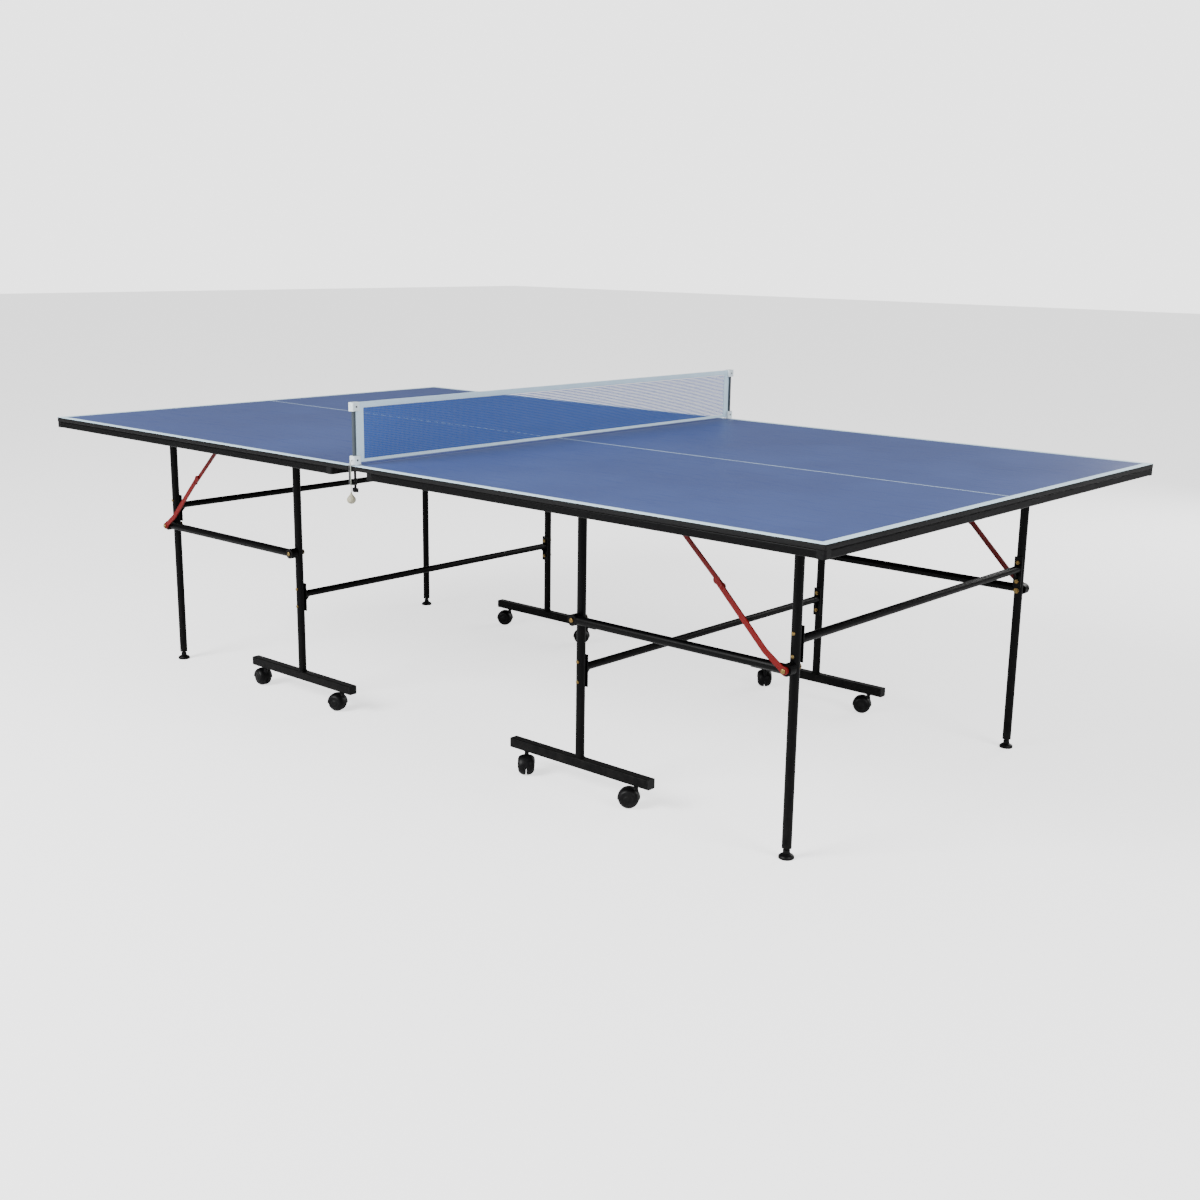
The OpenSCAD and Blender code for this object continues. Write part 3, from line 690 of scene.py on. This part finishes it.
def netTapes(setup):
    x, end, parts = setup["x"], setup["tapeEnd"], []
    y = np.linspace(-end, end, 240)
    for (low, high), fold in ((setup["topTape"], 1), (setup["bottomTape"], -1)):
        rise = 0.00012 * np.sin(y * 47) * np.cos(y * 19)
        path = np.stack([np.full_like(y, x), y, np.full_like(y, (low + high) / 2) + rise], -1)
        outline = tapeLoop(high - low - 0.0003, setup["tapeThick"], 0.35)
        section = np.stack([outline[:, 0], fold * outline[:, 1]], -1)
        shape = path[:, None] + section[:, :1] * np.array([1, 0, 0]) + section[:, 1:] * np.array([0, 0, 1])
        parts.append(gridPart(shape, wrapColumns=True, capped=True, span=(0.03, 2 * end)))
    z = np.linspace(setup["bottomTape"][1] - 0.001, setup["topTape"][0] + 0.001, 90)
    tall = (z > setup["bandTall"][0]) & (z < setup["bandTall"][1])
    outer = np.where(tall, setup["band"][1], setup["tapeEnd"] - 0.0004)
    inner = np.full_like(z, setup["band"][0])
    for sign in (1, -1):
        outline = loopAround(setup["bandThick"], 1, 0.0007, 3)
        share = outline[:, 1] + 0.5
        across = inner[:, None] + (outer - inner)[:, None] * share[None, :]
        shape = np.stack(np.broadcast_arrays(x + outline[None, :, 0], sign * across, z[:, None]), -1)
        parts.append(gridPart(shape, wrapColumns=True, capped=True, span=(0.05, 0.12)))
    return parts


def stitchRows(setup):
    # short threads lying on both faces of the tapes and bands, each a pinched four-sided bead
    x, gap, parts, runs = setup["x"], setup["stitch"], [], []
    (low, high), under = setup["topTape"], setup["bottomTape"][1]
    y = np.arange(-setup["tapeEnd"] + 0.003, setup["tapeEnd"] - 0.003, gap)
    for level in (low + 0.0018, high - 0.0045, under - 0.0018):
        runs.append((np.stack([np.full_like(y, x), y, np.full_like(y, level)], -1), (0, 1, 0), (0, 0, 1)))
    z = np.arange(setup["bandTall"][0] - 0.006, setup["bandTall"][1] + 0.004, gap)
    for level in (-setup["band"][0] - 0.002, setup["band"][0] + 0.002):
        runs.append((np.stack([np.full_like(z, x), np.full_like(z, level), z], -1), (0, 0, 1), (0, 1, 0)))
    thin, wide = setup["thread"]
    station = np.array([-1, -0.4, 0.4, 1])[:, None]
    fat = np.array([0.25, 1, 1, 0.25])[:, None]
    turn = np.array([0, 1, 2, 3])[None, :] * np.pi / 2
    for centres, along, side in runs:
        for face in (1, -1):
            bead = (
                (station * gap * 0.34)[..., None] * np.array(along)
                + (fat * np.sin(turn) * wide)[..., None] * np.array(side)
                + (face * (setup["threadOut"] + fat * np.cos(turn) * thin))[..., None] * np.array([1, 0, 0])
            )
            parts.append(gridPart(centres[:, None, None] + bead, wrapColumns=True, capped=True))
    return parts


net = addPiece("net", weaveNet(netShape), [finishes["net_fabric"]], "top_a", ["net_panel"], 80)
tapes = addPiece("net_tapes", netTapes(netShape), [tapeFinish], "top_a", (), 40)
stitches = addPiece("net_stitches", stitchRows(netShape), [threadFinish], "top_a", (), 60)
print("net woven")

# ---- tension cord and weight ----

weightShape = {
    "profile": [  # radius and height in mm, from the neck down
        (0, 0.6), (1.6, 0.4), (2.5, -0.4), (2.7, -1.6), (3.1, -2.6), (5.0, -5.4), (7.4, -8.4), (9.4, -11),
        (10.6, -13.6), (11, -16), (10.7, -18.4), (9.6, -20.8), (7.6, -23.2), (4.8, -25.1), (2.4, -25.8),
        (0, -25.95),
    ],
    "rows": 46,
    "widest": 9,  # number of the profile point that the seam follows
    "seam": (0.00014, 0.011),  # its depth and the radius there
    "knot": [  # radius and height in mm, down from the cord
        (0, 3.2), (1.3, 2.8), (1.9, 1.8), (1.6, 0.9), (2.1, 0), (1.7, -1), (0, -1.2),
    ],
    "knotUp": 0.0006,
}
cordLay = {"stations": 150, "around": 12, "pitch": 0.0042, "groove": 0.12}


def cordTube(route, radius):
    # the route smoothed, with two strands laid round each other as ripples in the radius
    reach = np.concatenate([[0], np.cumsum(np.linalg.norm(np.diff(route, axis=0), axis=1))])
    station = np.linspace(0, reach[-1], cordLay["stations"])
    path = np.stack([np.interp(station, reach, route[:, k]) for k in range(3)], -1)
    turn = np.linspace(0, 2 * np.pi, cordLay["around"], endpoint=False)[None, :]
    lay = 1 - cordLay["groove"] * np.cos(2 * turn - station[:, None] * 2 * np.pi / cordLay["pitch"]) ** 2
    section = np.stack([radius * lay * np.cos(turn), radius * lay * np.sin(turn)], -1)
    return sweep(path, (1, 0, 0), section), reach[-1]


def weightBody(setup, end):
    profile = np.array(setup["profile"]) / 1000
    reach = np.linspace(0, len(profile) - 1, setup["rows"])
    smooth = np.stack([np.interp(reach, np.arange(len(profile)), profile[:, k]) for k in range(2)], -1)
    depth, radius = setup["seam"]
    smooth[:, 0] *= 1 - depth / radius * (np.abs(reach - setup["widest"]) < 0.4)
    return lathe(smooth, end, "z", 48)


cordPoints, cordReach = cordTube(cordRoute, cordSetup["radius"])
cord = addPiece(
    "net_cord", [gridPart(cordPoints, wrapColumns=True, capped=True, span=(1, cordReach))],
    [finishes["cord"]], "top_a", ["tension_cord"], 60,
)
knot = lathe(np.array(weightShape["knot"]) / 1000, cordRoute[-1] + [0, 0, weightShape["knotUp"]], "z", 20)
weight = addPiece(
    "cord_weight",
    [gridPart(weightBody(weightShape, cordRoute[-1]), wrapColumns=True),
     gridPart(knot, wrapColumns=True, paint=1)],
    [finishes["weight"], finishes["cord"]], "top_a", ["tension_weight"], 50,
)

# ---- casters: crowned twin wheels under a rounded hood ----

casterShape = {
    "offset": 0.179,  # stem from the leg, along the foot bar
    "leg": (0.54, 0.511),
    "turns": {"a": (-49, 210, 131, 205), "b": (200, 172, 205, 208)},
    "trail": 0.017,
    "axleHeight": 0.025,
    "hood": 0.0270,
    "hoodSide": 0.015,  # radius of the hood where it meets its side faces
    "halfWidth": 0.021,
    "shell": 0.0014,
    "lip": (0.0002, 0.07),  # height, and how far it fades, in radians round the axle
    "squareness": 2.3,
    "hoodFrom": (-3, 183),  # degrees round the axle, from the trailing side over the top
    "web": [(0, -1.1), (25.9, -1.1), (26.1, -0.9), (26.1, 0.9), (25.9, 1.1), (0, 1.1)],
    "webStep": 0.05,  # height above the axle where the web narrows, as a share of its radius
    "webSteepness": 22,
    "hub": 0.0098,
    "neck": [  # radius and height in mm, from inside the hood up into the foot bar
        (0, 43.9), (6.4, 43.9), (6.4, 45.2), (5.8, 47), (5.3, 49.4), (5.1, 53), (5.2, 55.6),
        (7.6, 56.0), (8, 56.4), (8, 57.4), (7.7, 57.7), (5, 57.7), (5, 70.4), (0, 70.4),
    ],
    "neckSlope": (0.78, 0.78, 0.78, 0.6, 0.3, 0.1, 0, 0, 0, 0, 0, 0, 0, 0),  # rise per step out, row by row
    "axle": [(0, -19), (2.7, -19), (3, -18.7), (3, 18.7), (2.7, 19), (0, 19)],
    "wheel": [  # radius and distance from the middle in mm: blind bore, inner face, tread, crown, hub cap
        (0, 19.3), (3.2, 19.3), (3.2, 1.5), (9, 1.5), (9.4, 1.9), (20.5, 1.9), (21, 1.5), (23, 1.5),
        (24.2, 1.9), (24.8, 2.9), (25, 4.4), (24.9, 5.8), (24.6, 7.4), (24.2, 9.2), (23.6, 11), (22.8, 12.8),
        (21.6, 14.6), (20.2, 16.2), (18.5, 17.6), (16.6, 18.8), (14.8, 19.7), (13.5, 20.1), (13, 20),
        (12.6, 19.6), (12, 19.5), (8.8, 19.7), (8.2, 20.1), (7.6, 20.6), (6, 20.9), (3, 21), (0, 21),
    ],
}


def hoodShell(setup):
    # across the width the hood's radius falls as a squared-off ellipse, fullest in the middle; the shell is
    # that outline carried round the axle, with a slightly raised lip along both of its ends
    share = np.sin(np.linspace(-np.pi / 2, np.pi / 2, 27))
    crown = (1 - np.abs(share) ** setup["squareness"]).clip(0) ** (1 / setup["squareness"])
    raised, fade = setup["lip"]
    outer = setup["hoodSide"] + (setup["hood"] - raised - setup["hoodSide"]) * crown
    inner = outer - setup["shell"]
    inside = share * (setup["halfWidth"] - setup["shell"] * 0.5)
    radius = np.concatenate([outer, inner[::-1]])
    across = np.concatenate([share * setup["halfWidth"], inside[::-1]])
    angle = np.radians(np.linspace(*setup["hoodFrom"], 44))[:, None]
    ends = np.minimum(angle - angle[0], angle[-1] - angle)
    reach = radius + raised * np.exp(-(ends / fade) ** 2) * (np.arange(len(radius)) < len(share))
    return np.stack(np.broadcast_arrays(
        setup["trail"] + reach * np.cos(angle), across, setup["axleHeight"] + reach * np.sin(angle)), -1)


def webOutline(setup):
    # share of the full radius: all of it above the axle, then down to the hub in a smooth step
    small = setup["hub"] / setup["hood"]

    def outline(angle):
        up = np.cos(angle)  # the first direction of a lathe along y is up
        return small + (1 - small) / (1 + np.exp(-(up - setup["webStep"]) * setup["webSteepness"]))

    return outline


def atCaster(points, setup, half, side, index):
    # local points, wheels trailing along +X, turned about the stem and set under the foot bar
    turn = math.radians(setup["turns"][half][index])
    x = side * (setup["leg"][0] + (-setup["offset"] if index % 2 == 0 else setup["offset"]))
    y = setup["leg"][1] * (-1 if index < 2 else 1)
    spin = np.array([[math.cos(turn), math.sin(turn), 0], [-math.sin(turn), math.cos(turn), 0], [0, 0, 1]])
    return points @ spin + (x, y, 0)


def addCaster(setup, half, side, index):
    axle = (setup["trail"], 0, setup["axleHeight"])
    profiles = {key: np.array(setup[key]) / 1000 for key in ("web", "neck", "axle", "wheel")}
    neck = lathe(profiles["neck"], (0, 0, 0), "z", 28)[0]
    neck[..., 2] += neck[..., 0] * np.array(setup["neckSlope"])[:, None]
    hood = [
        hoodShell(setup),
        lathe(profiles["web"], axle, "y", 72, 1, webOutline(setup))[0],
        neck,
        lathe(profiles["axle"], axle, "y", 20)[0],
    ]
    wheels = [lathe(profiles["wheel"], axle, "y", 56, sign)[0] for sign in (1, -1)]
    name = f"{half}{index + 1}"
    for piece, parts, slot, body, node in (
        ("body", hood, "black_plastic", "caster", "hood"),
        ("rollers", wheels, "wheel_rubber", "wheels", "wheels"),
    ):
        grids = [gridPart(atCaster(part, setup, half, side, index), wrapColumns=True, capped=part is hood[0])
                 for part in parts]
        addPiece(f"caster_{piece}_{name}", grids, [finishes[slot]],
                 f"{body}_{name}", [f"caster_{node}_{name}"], 38)


for half, side in halves:
    for index in range(4):
        addCaster(casterShape, half, side, index)
print("casters made")

# ---- net clamps and block screws ----

clampShape = {
    "path": [  # distance from the middle and height in mm: shelf, round the board's edge, down, back under
        (738.3, 761.25), (744, 761.25), (750, 761.25), (756, 761.25), (761, 761.25), (763.2, 760.9),
        (764.5, 759.6), (764.9, 757.4), (764.9, 750), (764.9, 740), (764.9, 730), (764.9, 720),
        (764.8, 716.8), (764.0, 714.6), (761.8, 713.6), (758, 713.5), (751.6, 713.5),
    ],
    "left": (2.6, 2.6, 2.6, 2.6, 2.9, 3.6, 4.1, 4.4, 4.6, 4.6, 4.6, 4.6, 4.4, 4.0, 3.4, 2.9, 2.6),
    "right": (22.4, 22.4, 22.4, 21.8, 18.6, 14.2, 11.6, 10.7, 10.4, 10.4, 10.4, 10.4, 10.6, 11, 11.6, 12.1,
              12.4),
    "half": (1.2, 1.2, 1.2, 1.2, 1.2, 1.1, 1.05, 1.05, 1.05, 1.05, 1.05, 1.05, 1.05, 1.1, 1.3, 1.4, 1.4),
    "between": 4,  # rows from one point of the path to the next
    "paintedShadeFromPoint": 6,  # the shelf keeps the bright metal as far as this point; the rest of the strap is painted dark as shade
    "eye": [  # ring round the thumbscrew: radius and height
        (3.15, 712.05), (4.7, 712.05), (4.98, 712.35), (4.98, 714.65), (4.7, 714.95), (3.15, 714.95),
        (3.15, 712.05),
    ],
    "screw": (7.5, 748),
    "rounding": 0.35,
}


def strapShape(setup):
    # each station of the path carries a thin rounded rectangle between its left and right edges
    path = np.array(setup["path"], float)
    knots = np.arange(len(path))
    fine = np.linspace(0, len(path) - 1, setup["between"] * (len(path) - 1) + 1)
    rows = np.stack([np.interp(fine, knots, values) for values in
                     (path[:, 0], path[:, 1], setup["left"], setup["right"], setup["half"])], -1) / 1000
    smooth = rows.copy()
    smooth[2:-2] = (rows[:-4] + rows[1:-3] + rows[2:-2] + rows[3:-1] + rows[4:]) / 5
    line = np.stack([np.zeros(len(smooth)), smooth[:, 0], smooth[:, 1]], -1)
    outline = loopAround(2, 2, setup["rounding"], 4)
    centre, reach = (smooth[:, 2:3] + smooth[:, 3:4]) / 2, (smooth[:, 3:4] - smooth[:, 2:3]) / 2
    corner = np.sign(outline[:, 0]) * (1 - (1 - np.abs(outline[:, 0])) * smooth[:, 4:5] / reach)
    return sweep(line, (1, 0, 0), np.stack([centre + reach * corner, smooth[:, 4:5] * outline[:, 1]], -1))


def addClamps(setup):
    strap = strapShape(setup)
    # from this row on, the strap round the board's edge, down and back under it takes the dark screw finish
    # as painted shade; only the shelf keeps the bright metal
    paintedShadeFrom = setup["between"] * setup["paintedShadeFromPoint"]
    eye, (screwX, screwY) = np.array(setup["eye"]) / 1000, np.array(setup["screw"]) / 1000
    parts = []
    for sign in (1, -1):
        shape = strap * (1, sign, 1)
        ring = lathe(eye, (screwX, sign * screwY, 0), "z", 40)
        # the shelf in bright metal, the rest of the strap in the dark screw finish as painted shade, and the
        # dark ring round the thumbscrew
        parts += [gridPart(shape[:paintedShadeFrom + 1], wrapColumns=True, capped=True),
                  gridPart(shape[paintedShadeFrom:], wrapColumns=True, capped=True, paint=1),
                  gridPart(ring, wrapColumns=True, paint=1)]
    addPiece("clamp_straps", parts, [finishes["bright_steel"], screwAndShadeFinish],
             "top_a", ["net_clamps"], 40)


blockScrew = {
    "profile": [  # radius and height in mm
        (0, 0.2), (2.6, 0.2), (2.6, 0.55), (2.2, 1.0), (1.5, 1.25), (0.9, 1.3), (0.75, 0.7), (0, 0.7),
    ],
    "face": 0.0208,
    "places": [(0.75, 0.773), (0.75, 0.902)],  # y and z
}


def addBlockScrews(setup):
    # round heads with a dimple, in the outer faces of the post blocks
    centres = [(setup["face"], sign * y, z) for y, z in setup["places"] for sign in (1, -1)]
    heads = lathe(np.array(setup["profile"]) / 1000, centres, "x", 24)
    addPiece("block_screws", [gridPart(heads, wrapColumns=True)], [screwAndShadeFinish],
             "top_a", (), 40)


addClamps(clampShape)
addBlockScrews(blockScrew)
print("clamps and screws made")

# ---- welds ----

weldSetup = {
    "leg": ((0.54, 0.511, 0.0834), 0.0112, 0.0016),  # centre, radius and bead, where a leg meets its foot bar
    "bars": {"trestle": (0.54, 0.4966, 0.307), "end_frame": (1.147, 0.4966, 0.488)},
    "bar": (0.0097, 0.0015, 22),  # radius, bead and ripples, where a cross bar meets its plate
}


def addWelds(setup, half, side):
    rings = {"trestle": [], "end_frame": []}
    for sign in (1, -1):
        centre, radius, bead = setup["leg"]
        rings["trestle"].append(beadRing(np.multiply(centre, (side, sign, 1)), "z", radius, bead))
        for body, centre in setup["bars"].items():
            rings[body].append(beadRing(np.multiply(centre, (side, sign, 1)), "y", *setup["bar"]))
    for body, points in rings.items():
        addPiece(f"{body}_welds_{half}", [gridPart(ring, wrapColumns=True) for ring in points],
                 [finishes["frame_steel"]], f"{body}_{half}", (), 60)


for half, side in halves:
    addWelds(weldSetup, half, side)
print("welds laid")

# ---- stage and light ----

stageSetup = {
    "floor": rgb(0.86, 0.86, 0.87),
    "mottle": rgb(0.84, 0.84, 0.85),
    "floorSize": 60,
    "floorGlow": 1.5,
    "worldSeen": 2.9,
    "worldLight": 0.4,
    "lights": [  # place, aimed at, size, watts
        ((-1.2, -5.2, 3.6), (0, 0, 0.7), 3.0, 600),
        ((5.2, -0.6, 3.4), (0, 0, 0.7), 2.6, 230),
        ((1.0, 4.6, 2.0), (0, 0, 0.5), 2.4, 90),
    ],
}


def addFloor(setup):
    reach = np.linspace(-setup["floorSize"] / 2, setup["floorSize"] / 2, 3)
    x, y = np.meshgrid(reach, reach)
    part = gridPart(np.stack([x, y, np.zeros_like(x)], -1))
    mesh = bpy.data.meshes.new("floor")
    mesh.from_pydata(part["points"].tolist(), [], part["faces"])
    finish = Finish("floorPaint", {"Roughness": 0.9, "Specular IOR Level": 0.1})
    mottle = finish.ramp(finish.noise(1.5, 4), 0.3, 0.7)
    mesh.materials.append(finish.wear(finish.blend(mottle * 0.3, setup["floor"], setup["mottle"])))
    finish.shader.inputs["Emission Color"].default_value = rgb(1, 1, 1)
    seen = finish.node("ShaderNodeLightPath")  # 1 for what the camera looks at: the floor glows only there
    finish.feed(finish.shader.inputs["Emission Strength"], seen * setup["floorGlow"])
    floor = bpy.data.objects.new("floor", mesh)
    bpy.context.scene.collection.objects.link(floor)


def addLights(setup):
    world = bpy.data.worlds.new("studio")
    world.use_nodes = True
    background = world.node_tree.nodes["Background"]
    background.inputs["Color"].default_value = rgb(1, 1, 1)
    # a white backdrop, and a dimmer sky for the light
    sight = world.node_tree.nodes.new("ShaderNodeLightPath")
    level = world.node_tree.nodes.new("ShaderNodeMapRange")
    level.inputs["To Min"].default_value = setup["worldLight"]
    level.inputs["To Max"].default_value = setup["worldSeen"]
    world.node_tree.links.new(sight.outputs["Is Camera Ray"], level.inputs["Value"])
    world.node_tree.links.new(level.outputs["Result"], background.inputs["Strength"])
    bpy.context.scene.world = world
    for number, (place, target, size, watts) in enumerate(setup["lights"]):
        data = bpy.data.lights.new(f"softbox_{number}", "AREA")
        data.shape = "DISK"
        data.size = size
        data.energy = watts
        light = bpy.data.objects.new(f"softbox_{number}", data)
        bpy.context.scene.collection.objects.link(light)
        aim = np.subtract(target, place)
        light.location = place
        light.rotation_euler = (
            math.acos(-aim[2] / np.linalg.norm(aim)), 0, math.atan2(aim[1], aim[0]) - math.pi / 2
        )


addFloor(stageSetup)
addLights(stageSetup)
print("stage lit")
